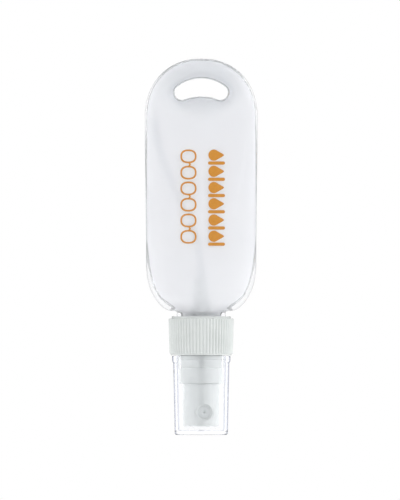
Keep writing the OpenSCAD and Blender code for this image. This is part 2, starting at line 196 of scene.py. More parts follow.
def outward(obj):
    """Turns every face of a closed mesh outwards."""
    bm = bmesh.new()
    bm.from_mesh(obj.data)
    bmesh.ops.recalc_face_normals(bm, faces=bm.faces)
    bm.to_mesh(obj.data)
    bm.free()


def ring_faces(count, sides, first=0):
    """Quads between rings of points that follow each other, from the point with number first."""
    return [
        (first + j * sides + i, first + j * sides + (i + 1) % sides,
         first + (j + 1) * sides + (i + 1) % sides, first + (j + 1) * sides + i)
        for j in range(count - 1) for i in range(sides)
    ]


def block(name, low, high):
    """A box between two corners, used only as part of another piece."""
    corners = [(x, y, z) for x in (low[0], high[0]) for y in (low[1], high[1]) for z in (low[2], high[2])]
    sides = [(0, 1, 3, 2), (4, 6, 7, 5), (0, 4, 5, 1), (2, 3, 7, 6), (0, 2, 6, 4), (1, 5, 7, 3)]
    obj = new_object(name, corners, sides)
    outward(obj)
    return obj


def boolean(obj, cutter, operation):
    """Cuts or joins with a mesh, which is then removed."""
    modifier = obj.modifiers.new("join_or_cut", "BOOLEAN")
    modifier.object = cutter
    modifier.operation = operation
    modifier.solver = "EXACT"
    apply_modifiers(obj)
    bpy.data.objects.remove(cutter)


def plug(name, r, start, end, fillet=0):
    """A round bar along Z, used to join or cut. Its first end may have a fillet."""
    return lathe(name, [(0, start), (r, start, fillet), (r, end), (0, end)], closed=False, segments=64)


def apply_modifiers(obj):
    bpy.context.view_layer.update()
    evaluated = obj.evaluated_get(bpy.context.evaluated_depsgraph_get())
    mesh = bpy.data.meshes.new_from_object(evaluated)
    obj.modifiers.clear()
    obj.data = mesh


def soften(obj, width, segments=2, angle=35):
    """Rounds an object's sharp edges by a small radius, in millimetres."""
    modifier = obj.modifiers.new("soft_edges", "BEVEL")
    modifier.width = width * MM
    modifier.segments = segments
    modifier.limit_method = "ANGLE"
    modifier.angle_limit = math.radians(angle)
    apply_modifiers(obj)
    obj.data.shade_smooth()
    obj.data.set_sharp_from_angle(angle=math.radians(angle + 10))


# ---- materials ----

def link(tree, a, b):
    tree.links.new(a, b)


def noise(tree, scale, detail=3, roughness=0.5, stretch=(1, 1, 1)):
    """Noise in the object's own space, with its features about 1/scale metres wide."""
    space = tree.nodes.new("ShaderNodeTexCoord")
    mapping = tree.nodes.new("ShaderNodeMapping")
    mapping.inputs["Scale"].default_value = stretch
    texture = tree.nodes.new("ShaderNodeTexNoise")
    texture.inputs["Scale"].default_value = scale
    texture.inputs["Detail"].default_value = detail
    texture.inputs["Roughness"].default_value = roughness
    link(tree, space.outputs["Object"], mapping.inputs["Vector"])
    link(tree, mapping.outputs["Vector"], texture.inputs["Vector"])
    return texture.outputs["Fac"]


def ramp(tree, value, low, high):
    """A value in 0 to 1 moved to low to high."""
    node = tree.nodes.new("ShaderNodeMapRange")
    node.inputs["To Min"].default_value = low
    node.inputs["To Max"].default_value = high
    link(tree, value, node.inputs["Value"])
    return node.outputs["Result"]


def tint(tree, value, first, second):
    """A colour between two, chosen by a value."""
    node = tree.nodes.new("ShaderNodeValToRGB")
    node.color_ramp.elements[0].position = 0.3
    node.color_ramp.elements[1].position = 0.7
    node.color_ramp.elements[0].color = (*first, 1)
    node.color_ramp.elements[1].color = (*second, 1)
    link(tree, value, node.inputs["Fac"])
    return node.outputs["Color"]


# Painted shade: the milky colour is multiplied darker round the hang slot, for the shading of the loop.
SLOT_SHADE_DEPTH = 10                    # below the bottle's top, the middle of the painted shade round the loop's pinched part
SLOT_SHADE_HALF = (18.5, 13)             # its reach sideways and up and down
SLOT_SHADE_TINT = (0.885, 0.895, 0.90)


def painted_shade_round_slot(tree, colour):
    """The milky colour with painted shade: a little darker round the hang slot, where the loop is pinched,
    for the loop's shading.
    """
    here = tree.nodes.new("ShaderNodeTexCoord").outputs["Object"]
    spread = tree.nodes.new("ShaderNodeMapping")
    spread.vector_type = "TEXTURE"
    spread.inputs["Location"].default_value = (0, 0, (TOP_Z - SLOT_SHADE_DEPTH) * MM)
    spread.inputs["Scale"].default_value = (SLOT_SHADE_HALF[0] * MM, 1, SLOT_SHADE_HALF[1] * MM)
    link(tree, here, spread.inputs["Vector"])
    length = tree.nodes.new("ShaderNodeVectorMath")
    length.operation = "LENGTH"
    link(tree, spread.outputs["Vector"], length.inputs[0])
    # the painted shade's mask, 1 near the slot and 0 where it has faded out
    near = tree.nodes.new("ShaderNodeMapRange")
    near.interpolation_type = "SMOOTHSTEP"
    near.inputs["From Min"].default_value, near.inputs["From Max"].default_value = 0.55, 1.0
    near.inputs["To Min"].default_value, near.inputs["To Max"].default_value = 1, 0
    link(tree, length.outputs["Value"], near.inputs["Value"])
    blend = tree.nodes.new("ShaderNodeMix")
    blend.data_type = "RGBA"
    blend.blend_type = "MULTIPLY"
    blend.inputs["B"].default_value = (*SLOT_SHADE_TINT, 1)
    link(tree, near.outputs["Result"], blend.inputs["Factor"])
    link(tree, colour, blend.inputs["A"])
    return blend.outputs["Result"]


def darker_edge(tree, colour, edge, start, full):
    """A clear wall's colour, deeper where the wall is seen edge on."""
    facing = tree.nodes.new("ShaderNodeLayerWeight")
    facing.inputs["Blend"].default_value = 0.5
    depth = tree.nodes.new("ShaderNodeMapRange")
    depth.interpolation_type = "SMOOTHSTEP"
    depth.inputs["From Min"].default_value, depth.inputs["From Max"].default_value = start, full
    link(tree, facing.outputs["Facing"], depth.inputs["Value"])
    blend = tree.nodes.new("ShaderNodeMix")
    blend.data_type = "RGBA"
    blend.inputs["B"].default_value = (*edge, 1)
    link(tree, depth.outputs["Result"], blend.inputs["Factor"])
    link(tree, colour, blend.inputs["A"])
    return blend.outputs["Result"]


def material(name, colours, roughness, patch=300, grain=9000, bump=0.02, fixed=None, stretch=(1, 1, 1),
             edge=None, shade=None):
    """A Principled material: two tints in soft patches, a roughness range, and a fine moulded grain.
    edge is (colour, start, full) for darker_edge, and shade is a function that changes the colour."""
    mat = bpy.data.materials.new(name)
    mat.use_nodes = True
    tree = mat.node_tree
    shader = tree.nodes["Principled BSDF"]
    patches = noise(tree, patch, detail=4, stretch=stretch)
    colour = tint(tree, patches, *colours)
    if shade:
        colour = shade(tree, colour)
    if edge:
        colour = darker_edge(tree, colour, *edge)
    link(tree, colour, shader.inputs["Base Color"])
    link(tree, ramp(tree, noise(tree, patch * 3, stretch=stretch), *roughness), shader.inputs["Roughness"])
    if bump:
        relief = tree.nodes.new("ShaderNodeBump")
        relief.inputs["Strength"].default_value = bump
        relief.inputs["Distance"].default_value = 0.0001
        link(tree, noise(tree, grain, detail=2, stretch=stretch), relief.inputs["Height"])
        link(tree, relief.outputs["Normal"], shader.inputs["Normal"])
    for socket, value in (fixed or {}).items():
        shader.inputs[socket].default_value = value
    return mat


CLEAR_WALL = material(
    "clear_bottle_wall", [(0.975, 0.98, 0.99), (0.985, 0.99, 1.0)], (0.03, 0.06),
    patch=60, grain=500, bump=0.04, edge=((0.90, 0.91, 0.94), 0.62, 0.92),
    fixed={"Transmission Weight": 1.0, "IOR": 1.14, "Coat Weight": 0.25, "Coat Roughness": 0.06})
# The milky inside carries painted shade round the hang slot.
MILKY = material(
    "milky_bottle_inside", [(0.925, 0.93, 0.95), (0.955, 0.96, 0.975)], (0.7, 0.85),
    patch=45, grain=2500, bump=0.06, shade=painted_shade_round_slot,
    fixed={"Transmission Weight": 0.5, "Alpha": 0.97, "IOR": 1.06, "Specular IOR Level": 0.2})
CLEAR_CAP = material(
    "clear_cap", [(0.98, 0.985, 0.995), (0.99, 0.992, 1.0)], (0.01, 0.025),
    patch=80, grain=700, bump=0.02, edge=((0.24, 0.27, 0.38), 0.5, 0.82),
    fixed={"Transmission Weight": 1.0, "IOR": 1.22})
WHITE = material(
    "white_moulded", [(0.74, 0.775, 0.77), (0.79, 0.82, 0.815)], (0.2, 0.26),
    patch=220, grain=9000, bump=0.03,
    fixed={"Coat Weight": 1.0, "Coat Roughness": 0.05, "Coat IOR": 1.85, "Specular IOR Level": 0.5})
# Painted shade: the same white plastic as the turret and actuator, made darker because the collar, outside
# the clear cap, gets more light than the turret.
COLLAR_SHADED_WHITE = material(
    "white_ribbed_painted_shade", [(0.635, 0.665, 0.655), (0.685, 0.715, 0.705)], (0.22, 0.3),
    patch=220, grain=9000, bump=0.03,
    fixed={"Coat Weight": 0.6, "Coat Roughness": 0.15})
NOZZLE = material(
    "grey_white_insert", [(0.68, 0.71, 0.71), (0.73, 0.76, 0.76)], (0.3, 0.4),
    patch=500, grain=12000, bump=0.03)
CREAM = material(
    "cream_moulded", [(0.78, 0.77, 0.71), (0.83, 0.82, 0.77)], (0.3, 0.4),
    patch=400, grain=12000, bump=0.04)
NATURAL = material(
    "natural_moulded", [(0.76, 0.79, 0.79), (0.82, 0.84, 0.84)], (0.3, 0.42),
    patch=300, grain=9000, bump=0.04,
    fixed={"Subsurface Weight": 0.3, "Subsurface Radius": (1.0, 1.0, 1.0), "Subsurface Scale": 0.0015})
GASKET = material(
    "soft_gasket", [(0.70, 0.70, 0.67), (0.77, 0.77, 0.74)], (0.6, 0.75),
    patch=600, grain=5000, bump=0.15)
STEEL = material(
    "drawn_wire", [(0.50, 0.51, 0.53), (0.64, 0.65, 0.67)], (0.18, 0.35),
    patch=1500, grain=14000, bump=0.06, fixed={"Metallic": 1.0})
BALL_STEEL = material(
    "polished_ball", [(0.66, 0.67, 0.69), (0.72, 0.73, 0.75)], (0.05, 0.1),
    patch=900, grain=9000, bump=0.01, fixed={"Metallic": 1.0})
TUBE = material(
    "extruded_tube", [(0.84, 0.87, 0.90), (0.90, 0.92, 0.94)], (0.2, 0.3),
    patch=300, grain=3000, bump=0.05, fixed={"Alpha": 0.24}, stretch=(1, 1, 0.1))
PRINT = material(
    "orange_print", [(0.54, 0.22, 0.02), (0.60, 0.26, 0.03)], (0.35, 0.5),
    patch=900, grain=11000, bump=0.12)


def place(obj, body, node, slot, *materials):
    """Finishes a piece that stands for a CAD node: its materials and its body, and hides the node. slot is
    not used.
    """
    for mat in materials:
        obj.data.materials.append(mat)
    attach(obj, body)
    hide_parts(node)
    return obj


# ---- bottle ----

TOP_RISE, TOP_ROUND = 21.6, 2.15                # the outline's rounded-square arc at the loop
SHOULDER_RISE, SHOULDER_POLE, SHOULDER_ROUND = 18, 21, 2.4
WAIST = 0.5                                     # how much narrower each side is by the shoulder
DEPTH_POLE, DEPTH_ROUND = 30, 2.6
TAPER_Z, TAPER_TOP = 26, 16                     # the depth tapers from here to this far below the top
CROWN_RISE = 5.1
SECTION_LOW, SECTION_MID, SECTION_TOP = 2.1, 2.35, 2.8      # how square each cross-section is
TOP_ARC_Z = BODY_LEN - TOP_RISE
LOW_ARC_Z = SHOULDER_RISE

SLOT_TOP_R, SLOT_LOW_R, SLOT_END_R = 14.3, 18.0, 2.7        # the hang slot's arcs
LOOP_CROWN, SLOT_GAP = 7.4, 6.6                 # bottle above the slot, and the slot's height
THROAT_R, THROAT_SHARE = 6.8, 0.93              # the rounding into the slot from both faces
SLOT_TOP_Z = BODY_LEN - LOOP_CROWN
SLOT_TOP_C = SLOT_TOP_Z - SLOT_TOP_R
SLOT_LOW_C = SLOT_TOP_Z - SLOT_GAP - SLOT_LOW_R
END_TO_TOP, END_TO_LOW = SLOT_TOP_R - SLOT_END_R, SLOT_LOW_R + SLOT_END_R
ARC_CENTRES = SLOT_TOP_C - SLOT_LOW_C
END_RISE = (END_TO_LOW ** 2 - END_TO_TOP ** 2 - ARC_CENTRES ** 2) / (2 * ARC_CENTRES)
END_X = math.sqrt(END_TO_TOP ** 2 - END_RISE ** 2)
TOP_ANGLE = math.atan2(END_RISE, END_X)
LOW_ANGLE = math.atan2(END_RISE + ARC_CENTRES, END_X)

CAVITY_FLOOR, BOWL_RISE, BOWL_ROUND = -1.0, 7.0, 1.5        # the inside's rounding to the neck
SHOULDER_BLEND_Z, SHOULDER_BLEND = 30, 28
OPENING_R = BORE_R + 0.3

THREAD_R, THREAD_PITCH, THREAD_TURNS = 9.9, 3.175, 1.5
THREAD_START = MOUTH_Z - NECK_ROOT_Z + 1.7
THREAD_FADE = 0.12                              # turns over which each end rises
THREAD_HALF, THREAD_FLANK = 0.78, 0.4           # half its height at the root, and a flank's height

CROWN_SHAVE = 0.02                              # the loop's crown is cut flat by this
CROWN_EDGE, SLOT_EDGE, SLOT_EDGE_IN = 0.3, 1.6, 1.2         # how softly surfaces meet
FOOT_EDGE, FOOT_EDGE_IN, NECK_END_EDGE = 1.2, 0.5, 0.5
NECK_FILLET, BORE_FILLET = 0.8, 0.4
NECK_INTO_BODY, BORE_INTO_BODY = 3, 2.5         # how far the neck and its bore run into the body
OUTSIDE, INSIDE = 0, 1                          # material slots
MOUTH_CELL, NECK_CELL = 0.15, 0.3               # the grid's steps in z at the mouth and along the neck
BODY_CELL_Z, MARGIN = 1, 0.7                    # where its even steps start, and its room round the bottle


def half_w(z, inset):
    """Half the width at a level, for the surface that lies this far inside the outer one."""
    side = BOTTLE_W / 2 - inset - WAIST * ease((TOP_ARC_Z - z) / (TOP_ARC_Z - LOW_ARC_Z))
    top = superarc((z - TOP_ARC_Z) / (TOP_RISE - inset), TOP_ROUND)
    return side * top * superarc((LOW_ARC_Z - z) / (SHOULDER_POLE - inset), SHOULDER_ROUND)


def half_d(z, inset):
    """Half the depth at a level, likewise."""
    side = mix(BOTTLE_D, LOOP_D, ease((z - TAPER_Z) / (BODY_LEN - TAPER_Z - TAPER_TOP))) / 2 - inset
    crown = superarc((z - BODY_LEN + CROWN_RISE) / (CROWN_RISE - inset), 2)
    return side * crown * superarc((LOW_ARC_Z - z) / (DEPTH_POLE - inset), DEPTH_ROUND)


def section_round(z):
    """How square the cross-section is: 2 for an ellipse, more for a box."""
    low = mix(SECTION_LOW, SECTION_MID, clamp01(z / LOW_ARC_Z))
    high = mix(SECTION_MID, SECTION_TOP, ease((z - LOW_ARC_Z) / (BODY_LEN - 2 * LOW_ARC_Z)))
    return np.where(z < LOW_ARC_Z, low, high)


def rounded_section(x, y, w, d, n):
    """Below 0 inside the rounded section of half sizes w and d, and above 0 outside it."""
    w, d = np.maximum(w, 0.25), np.maximum(d, 0.25)
    return ((np.abs(x) / w) ** n + (np.abs(y) / d) ** n) ** (1 / n) - 1


def outer_section(x, y, z):
    return rounded_section(x, y, half_w(z, 0), half_d(z, 0), section_round(z))


def cavity_section(x, y, z):
    """The inside: the outside less its wall, drawn in round to the bore near the neck."""
    bowl = superarc((CAVITY_FLOOR + BOWL_RISE - z) / BOWL_RISE, BOWL_ROUND)
    thick = WALL + SHOULDER_EXTRA * ease((SHOULDER_BLEND_Z - z) / SHOULDER_BLEND)
    w = OPENING_R + (half_w(z, WALL) - thick + WALL - OPENING_R) * bowl
    d = OPENING_R + (half_d(z, WALL) - thick + WALL - OPENING_R) * bowl
    return rounded_section(x, y, w, d, mix(2, section_round(z), bowl))


def distance(section, x, y, z, step=0.05):
    """The section's value turned to about millimetres from its surface."""
    value = section(x, y, z)
    slope = np.sqrt(sum(
        (section(x + step * a, y + step * b, z + step * c) - value) ** 2
        for a, b, c in ((1, 0, 0), (0, 1, 0), (0, 0, 1)))) / step
    return value / np.maximum(slope, 0.03)


def slot_distance(x, y, z):
    """Distance outside the slot's wall, below 0 in the hole."""
    x = np.abs(x)
    up = np.hypot(x, z - SLOT_TOP_C) - SLOT_TOP_R
    down = SLOT_LOW_R - np.hypot(x, z - SLOT_LOW_C)
    end = np.hypot(x - END_X, z - SLOT_TOP_C - END_RISE) - SLOT_END_R
    beyond_top = np.arctan2(z - SLOT_TOP_C, x) < TOP_ANGLE
    beyond_low = np.arctan2(z - SLOT_LOW_C, x) < LOW_ANGLE
    arcs = np.maximum(np.where(beyond_top, -99, up), np.where(beyond_low, -99, down))
    outline = np.where(beyond_top & beyond_low, end, arcs)
    reach = np.minimum(np.abs(y), THROAT_SHARE * THROAT_R)
    drop = np.sqrt(THROAT_R ** 2 - reach ** 2)
    return (outline - THROAT_R + drop) * drop / THROAT_R


def thread_height(angle, z):
    """How far the thread stands out of the neck at an angle and a level."""
    height = np.zeros_like(z)
    for turn in (0, 1):
        along = (angle / (2 * np.pi)) % 1 + turn
        level = THREAD_START + THREAD_PITCH * along
        full = clamp01(np.minimum(along, THREAD_TURNS - along) / THREAD_FADE)
        flank = clamp01((THREAD_HALF - np.abs(z - level)) / THREAD_FLANK)
        height = np.maximum(height, full * flank)
    return height * (THREAD_R - NECK_R)


def outer_field(x, y, z):
    """About the distance outside the bottle's outer surface, with its neck and thread."""
    body = distance(outer_section, x, y, z)
    body = smooth_max(body, z - BODY_LEN + CROWN_SHAVE, CROWN_EDGE)
    body = smooth_max(body, -z, FOOT_EDGE)
    body = smooth_max(body, -slot_distance(x, y, z), SLOT_EDGE)
    r = np.hypot(x, y)
    neck = r - NECK_R - np.where(z < 0, thread_height(np.arctan2(y, x), z), 0)
    neck = smooth_max(neck, z - NECK_INTO_BODY, NECK_END_EDGE)
    return smooth_min(body, neck, NECK_FILLET)


def inner_field(x, y, z):
    """About the distance outside the space in the bottle, with the bore of its neck."""
    cavity = distance(cavity_section, x, y, z)
    cavity = smooth_max(cavity, z - BODY_LEN + WALL + CROWN_SHAVE, CROWN_EDGE)
    cavity = smooth_max(cavity, CAVITY_FLOOR - z, FOOT_EDGE_IN)
    cavity = smooth_max(cavity, WALL - slot_distance(x, y, z), SLOT_EDGE_IN)
    bore = smooth_max(np.hypot(x, y) - BORE_R, z - BORE_INTO_BODY, NECK_END_EDGE)
    return smooth_min(cavity, bore, BORE_FILLET)


def crossing_points(values, xs, ys, zs):
    """A point in each cell that the zero surface crosses, the mean of where it cuts the cell's edges.
    Gives the points, and the number of each cell's point or -1."""
    inside = values < 0
    shape = tuple(n - 1 for n in values.shape)
    total, hits = np.zeros(shape + (3,)), np.zeros(shape)
    grid = np.stack(np.meshgrid(xs, ys, zs, indexing="ij"), -1)
    for axis in range(3):
        u, v = [a for a in range(3) if a != axis]
        for du in (0, 1):
            for dv in (0, 1):
                first = [slice(0, -1)] * 3
                first[u] = slice(du, values.shape[u] - 1 + du)
                first[v] = slice(dv, values.shape[v] - 1 + dv)
                second = list(first)
                second[axis] = slice(1, None)
                a, b = values[tuple(first)], values[tuple(second)]
                crosses = inside[tuple(first)] != inside[tuple(second)]
                t = np.where(crosses, a / np.where(crosses, a - b, 1), 0)[..., None]
                point = mix(grid[tuple(first)], grid[tuple(second)], t)
                total += np.where(crosses[..., None], point, 0)
                hits += crosses
    used = hits > 0
    index = np.full(shape, -1)
    index[used] = np.arange(used.sum())
    return total[used] / hits[used][:, None], index


def surface_net(values, xs, ys, zs):
    """Quads round the zero surface of a grid of values, with one point in each cell that it crosses."""
    verts, index = crossing_points(values, xs, ys, zs)
    inside, shape = values < 0, index.shape
    faces = []
    for axis in range(3):
        u, v = (axis + 1) % 3, (axis + 2) % 3
        low = [slice(1, -1)] * 3
        low[axis] = slice(0, -1)
        high = list(low)
        high[axis] = slice(1, None)
        starts, ends = inside[tuple(low)], inside[tuple(high)]
        corners = []
        for du, dv in ((0, 0), (1, 0), (1, 1), (0, 1)):
            at = [slice(None)] * 3
            at[axis] = slice(0, shape[axis])
            at[u] = slice(du, shape[u] - 1 + du)
            at[v] = slice(dv, shape[v] - 1 + dv)
            corners.append(index[tuple(at)])
        quads = np.stack(corners, -1)
        faces.append(quads[starts & ~ends])
        faces.append(quads[~starts & ends][:, ::-1])
    return verts, np.concatenate(faces)


def settle(field, verts, rounds=4, step=0.01, longest=0.3):
    """Moves points onto the field's zero surface, no further than the longest move in a round."""
    for _ in range(rounds):
        x, y, z = verts.T
        value = field(x, y, z)
        slope = np.stack([
            field(x + step, y, z) - field(x - step, y, z),
            field(x, y + step, z) - field(x, y - step, z),
            field(x, y, z + step) - field(x, y, z - step)], 1) / (2 * step)
        size = np.maximum((slope ** 2).sum(1), 0.05)
        move = slope * (value / size)[:, None]
        verts = verts - np.clip(move, -longest, longest)
    return verts


def levels(low, high, step):
    """Even levels from low to high, about a step apart."""
    return np.linspace(low, high, int(round((high - low) / step)) + 1)


def bottle_surface(field, cell):
    """One skin of the bottle, standing over its neck and open at its mouth."""
    low = MOUTH_Z - NECK_ROOT_Z
    xs = levels(-BOTTLE_W / 2 - MARGIN, BOTTLE_W / 2 + MARGIN, cell)
    ys = levels(-BOTTLE_D / 2 - MARGIN, BOTTLE_D / 2 + MARGIN, cell)
    neck_zs = levels(low + MOUTH_CELL, BODY_CELL_Z, NECK_CELL)
    body_zs = levels(BODY_CELL_Z + cell, BODY_LEN + MARGIN, cell)
    zs = np.concatenate([[low], neck_zs, body_zs])
    values = field(*np.meshgrid(xs, ys, zs, indexing="ij"))
    verts, faces = surface_net(values, xs, ys, zs)
    rim = verts[:, 2] < low + MOUTH_CELL
    verts = settle(field, verts)
    verts[rim, 2] = low
    verts[:, 2] += NECK_ROOT_Z
    return verts, faces


def bridge_mouth(mesh):
    """Joins the two skins by a flat clear ring at the mouth."""
    bm = bmesh.new()
    bm.from_mesh(mesh)
    bmesh.ops.bridge_loops(bm, edges=[e for e in bm.edges if e.is_boundary])
    for face in bm.faces:
        if all(v.co.z < (MOUTH_Z + 0.01) * MM for v in face.verts):
            face.material_index = OUTSIDE
            face.smooth = False
    bmesh.ops.recalc_face_normals(bm, faces=bm.faces)
    bm.to_mesh(mesh)
    bm.free()


def make_bottle():
    cell = 0.55
    outer_verts, outer_faces = bottle_surface(outer_field, cell)
    inner_verts, inner_faces = bottle_surface(inner_field, cell)
    verts = np.concatenate([outer_verts, inner_verts])
    faces = np.concatenate([outer_faces, inner_faces[:, ::-1] + len(outer_verts)])
    obj = new_object("bottle_shell", verts, faces, sharp=None)
    place(obj, "bottle", "bottle", "bottle_wall", CLEAR_WALL, MILKY)
    slots = np.full(len(obj.data.polygons), OUTSIDE)
    slots[len(outer_faces):] = INSIDE
    obj.data.polygons.foreach_set("material_index", slots)
    bridge_mouth(obj.data)
    return obj


# ---- generic print on the front ----

PRINT_TOP = 105.9
INK = 0.05                          # half the ink's thickness, laid half in and half out of the surface
INK_RINGS = 6


def front_y(x, z):
    """The bottle's front surface at points across it, found by halving."""
    x, z = np.asarray(x, float), np.asarray(z, float) - NECK_ROOT_Z
    near, far = np.full_like(x, -BOTTLE_D / 2 - 1), np.zeros_like(x)
    for _ in range(40):
        centre = (near + far) / 2
        outside = outer_field(x, centre, z) > 0
        near, far = np.where(outside, centre, near), np.where(outside, far, centre)
    return (near + far) / 2


def ink_patch(outer, hole, first):
    """Points and faces of one shape of ink, counted on from the point with number first.
    It is made of rings from its outline in to its hole, or else to near its centre."""
    outer = np.asarray(outer, float)
    centre = outer.mean(0)
    inner = np.asarray(hole, float) if hole is not None else centre + (outer - centre) * 0.02
    count = len(outer)
    verts = []
    for lift in (INK, -INK):
        for k in range(INK_RINGS + 1):
            loop = mix(outer, inner, k / INK_RINGS)
            verts.extend(np.column_stack([loop[:, 0], front_y(loop[:, 0], loop[:, 1]) - lift, loop[:, 1]]))
    under = first + (INK_RINGS + 1) * count
    last, last_under = first + INK_RINGS * count, under + INK_RINGS * count
    following = [(i, (i + 1) % count) for i in range(count)]
    faces = ring_faces(INK_RINGS + 1, count, first)
    faces += [f[::-1] for f in ring_faces(INK_RINGS + 1, count, under)]
    faces += [(first + j, first + i, under + i, under + j) for i, j in following]
    if hole is None:
        faces.append([last + i for i in range(count)])
        faces.append([last_under + i for i in range(count)][::-1])
    else:
        faces += [(last + i, last + j, last_under + j, last_under + i) for i, j in following]
    return verts, faces


def inked(name, shapes):
    """Flat shapes in x and z, laid on the front as one thin layer of ink.
    Each is (outer outline, hole outline or None), with equal counts where there is a hole."""
    verts, faces = [], []
    for outer, hole in shapes:
        more_verts, more_faces = ink_patch(outer, hole, len(verts))
        verts += more_verts
        faces += more_faces
    obj = new_object(name, verts, faces, sharp=50)
    outward(obj)
    obj.data.materials.append(PRINT)
    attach(obj, "bottle")
    return obj


def oval_points(x, z, half_x, half_z, count=48, square=2.4):
    """A rounded-square oval."""
    a = np.arange(count) * 2 * np.pi / count
    c, s = np.cos(a), np.sin(a)
    return np.column_stack([
        x + half_x * np.sign(c) * np.abs(c) ** (2 / square),
        z + half_z * np.sign(s) * np.abs(s) ** (2 / square)])


def bar_points(x0, x1, z, half, count=24):
    """A bar across the column, with round ends of this half height."""
    a = np.linspace(-np.pi / 2, np.pi / 2, count // 2)
    right = np.column_stack([x1 - half + half * np.cos(a), z + half * np.sin(a)])
    left = np.column_stack([x0 + half - half * np.cos(a), z - half * np.sin(a)])
    return np.concatenate([right, left])


def drop_points(x, z, r, count=48):
    """A drop whose point is to the right, that is upwards for a bottle held by its loop."""
    a = np.arange(count) * 2 * np.pi / count
    stretch = 1 + 0.75 * np.clip(np.cos(a), 0, 1) ** 3
    pinch = 1 - 0.35 * np.clip(np.cos(a), 0, 1) ** 2
    return np.column_stack([x + r * np.cos(a) * stretch, z + r * np.sin(a) * pinch])


def arc_stroke(x, z, r, start, end, stroke, count=20):
    """A thin arc with square ends."""
    a = np.radians(np.linspace(start, end, count))
    outer = np.column_stack([x + (r + stroke / 2) * np.cos(a), z + (r + stroke / 2) * np.sin(a)])
    inner = np.column_stack([x + (r - stroke / 2) * np.cos(a), z + (r - stroke / 2) * np.sin(a)])
    return np.concatenate([outer, inner[::-1]])


def make_spectacles(x=-4.75, stroke=0.62, lens_w=3.0, lens_h=2.55, bridge=0.95, gap=0.75):
    """A column of three pairs of thin spectacles, each lens a ring, joined by a small arch."""
    shapes = []
    for pair in range(3):
        z = PRINT_TOP - lens_h - pair * (4 * lens_h + bridge + gap)
        for lens_z in (z, z - 2 * lens_h - bridge):
            shapes.append((
                oval_points(x, lens_z, lens_w, lens_h),
                oval_points(x, lens_z, lens_w - stroke, lens_h - stroke)))
        shapes.append((arc_stroke(x - 0.2, z - lens_h - bridge / 2, 0.75, -62, 62, stroke), None))
    inked("print_spectacles", shapes)


def make_drops(low_x=2.5, high_x=8.8, drop_x=4.75, drop_r=2.1, step=6.02, bar_drop=5.05, bar_half=0.6):
    """A column of six solid drops, with a bar under each."""
    shapes = []
    for k in range(6):
        z = PRINT_TOP - k * step
        shapes.append((drop_points(drop_x, z - drop_r, drop_r), None))
        shapes.append((bar_points(low_x, high_x, z - bar_drop, bar_half), None))
    inked("print_drops", shapes)


# ---- sprayer ----

GRIP_RIBS = 6


def make_overcap():
    """A clear tapered cup with a foot ring, a rim bead, a gate mark and inner grip ribs."""
    end_r, mouth_r, rim_r = 9.85, 10.4, CAP_HIGH.x
    cap_wall, floor_t, recess = 1.1, 1.3, 0.25
    rim_z = CAP_LEN - 2
    gate_z = floor_t + 0.35
    obj = lathe("overcap_shell", [
        (0, recess), (6, recess, 0.5), (6.3, 0, 0.3), (end_r, 0, 0.9), (mouth_r, rim_z - 0.6, 0.6),
        (rim_r, rim_z, 0.4), (rim_r, CAP_LEN, 0.25), (mouth_r - cap_wall, CAP_LEN, 0.25),
        (end_r - cap_wall, floor_t, 0.6), (1.1, floor_t, 0.1), (0.9, gate_z, 0.1),
        (0, gate_z)], closed=False, segments=160, steps=6)
    rib_low = (8.78, -0.25, CAP_LEN - 4.9)
    rib_high = (mouth_r - cap_wall + 0.3, 0.25, CAP_LEN - 0.5)
    for i in range(GRIP_RIBS):
        rib = block("rib", rib_low, rib_high)
        rib.data.transform(Matrix.Rotation(math.radians(360 / GRIP_RIBS * i + 30), 4, "Z"))
        boolean(obj, rib, "UNION")
    obj.data.shade_smooth()
    obj.data.set_sharp_from_angle(angle=math.radians(40))
    return place(obj, "overcap", "overcap", "clear_cap", CLEAR_CAP)


def make_turret():
    """The stepped sleeve: the actuator's guide, two fine grooves, a web, and a skirt inside the collar."""
    mouth_r, grip_r, guide_r = TURRET_HIGH.x - 0.35, TURRET_HIGH.x, 7.5
    low, high = TURRET_LOW.z, TURRET_HIGH.z
    step_z, base_z = WEB_Z - 0.5, BEAD_Z - 0.5
    skirt_r, inner_r, hole_r = 7.65, 6.35, 2.2
    skirt_z = COLLAR_Z - 0.1
    obj = lathe("turret_sleeve", [
        (guide_r, low, 0.2), (mouth_r, low, 0.25), (mouth_r + 0.15, step_z - 0.12, 0.05),
        (mouth_r + 0.05, step_z, 0.05), (mouth_r + 0.2, step_z + 0.12, 0.05),
        (grip_r - 0.03, base_z - 0.12, 0.05), (grip_r - 0.12, base_z, 0.05),
        (grip_r, base_z + 0.12, 0.05), (grip_r, skirt_z, 0.15), (skirt_r, skirt_z, 0.1),
        (skirt_r, high, 0.1), (inner_r, high, 0.1), (inner_r, BEAD_Z + 0.5, 0.2), (6.6, BEAD_Z, 0.2),
        (inner_r, BEAD_Z - 0.5, 0.2), (inner_r, WEB_Z + WEB_T, 0.2), (hole_r, WEB_Z + WEB_T, 0.1),
        (hole_r, WEB_Z, 0.1), (guide_r, WEB_Z, 0.3)], segments=160)
    return place(obj, "pump", "turret", "white_plastic", WHITE)


def nozzle_matrix():
    """From a shape drawn along +Z to the nozzle's axis, which leaves the actuator's side."""
    turn = Matrix.Rotation(NOZZLE_TURN, 4, "Z") @ Matrix.Rotation(math.pi / 2, 4, "X")
    return Matrix.Translation((0, 0, NOZZLE_Z * MM)) @ turn


